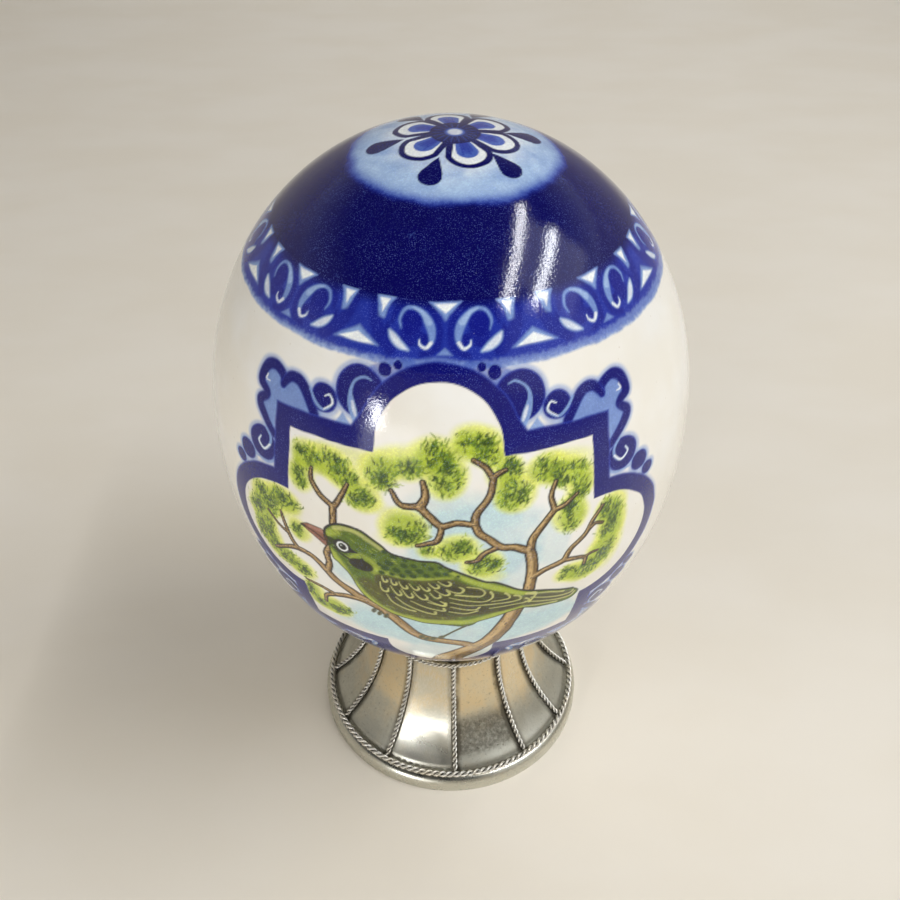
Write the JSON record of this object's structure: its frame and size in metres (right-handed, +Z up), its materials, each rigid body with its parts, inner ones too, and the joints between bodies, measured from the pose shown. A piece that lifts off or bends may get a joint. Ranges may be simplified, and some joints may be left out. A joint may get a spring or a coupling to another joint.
{
  "type": "painted ostrich egg on metal stand",
  "caption": "Hollow painted ostrich egg resting on felt in the cup of a low flared metal foot with twisted wire ribs; the egg lifts off and turns in its seat.",
  "frame": {"origin": "centre of the foot's flat bottom face", "axes": "+Z up along the egg's long axis; -Y is the painted front with the bird panel; +X is to the viewer's right"},
  "size_m": [0.1246, 0.1246, 0.2006],
  "materials": {
    "shell": "semi-gloss varnish over blue and white hand painting",
    "felt": "matt pressed felt",
    "cup_metal": "satin pewter",
    "gore_metal": "aged polished pewter",
    "rope_metal": "twisted wire with dark patina in the grooves",
    "rim_metal": "aged polished pewter"
  },
  "bodies": {
    "stand": {"foot_rim": "rim_metal", "base_rope": "rope_metal", "gore_01": "gore_metal", "gore_02": "gore_metal", "gore_03": "gore_metal", "gore_04": "gore_metal", "gore_05": "gore_metal", "gore_06": "gore_metal", "gore_07": "gore_metal", "gore_08": "gore_metal", "gore_09": "gore_metal", "gore_10": "gore_metal", "gore_11": "gore_metal", "gore_12": "gore_metal", "rib_wire_01": "rope_metal", "rib_wire_02": "rope_metal", "rib_wire_03": "rope_metal", "rib_wire_04": "rope_metal", "rib_wire_05": "rope_metal", "rib_wire_06": "rope_metal", "rib_wire_07": "rope_metal", "rib_wire_08": "rope_metal", "rib_wire_09": "rope_metal", "rib_wire_10": "rope_metal", "rib_wire_11": "rope_metal", "rib_wire_12": "rope_metal", "neck_collar": "cup_metal", "neck_rope": "rope_metal", "seat_cup": "cup_metal"},
    "felt": {"seat_felt": "felt"},
    "egg": {"egg_shell": "shell"}
  },
  "joints": [
    {"name": "egg_turn", "type": "hinge", "parent": "stand", "child": "felt", "pos_m": [0, 0, 0.05], "axis": [0, 0, 1], "continuous": true},
    {"name": "egg_lift", "type": "slide", "parent": "felt", "child": "egg", "axis": [0, 0, 1], "range_m": [0, 0.06]}
  ]
}
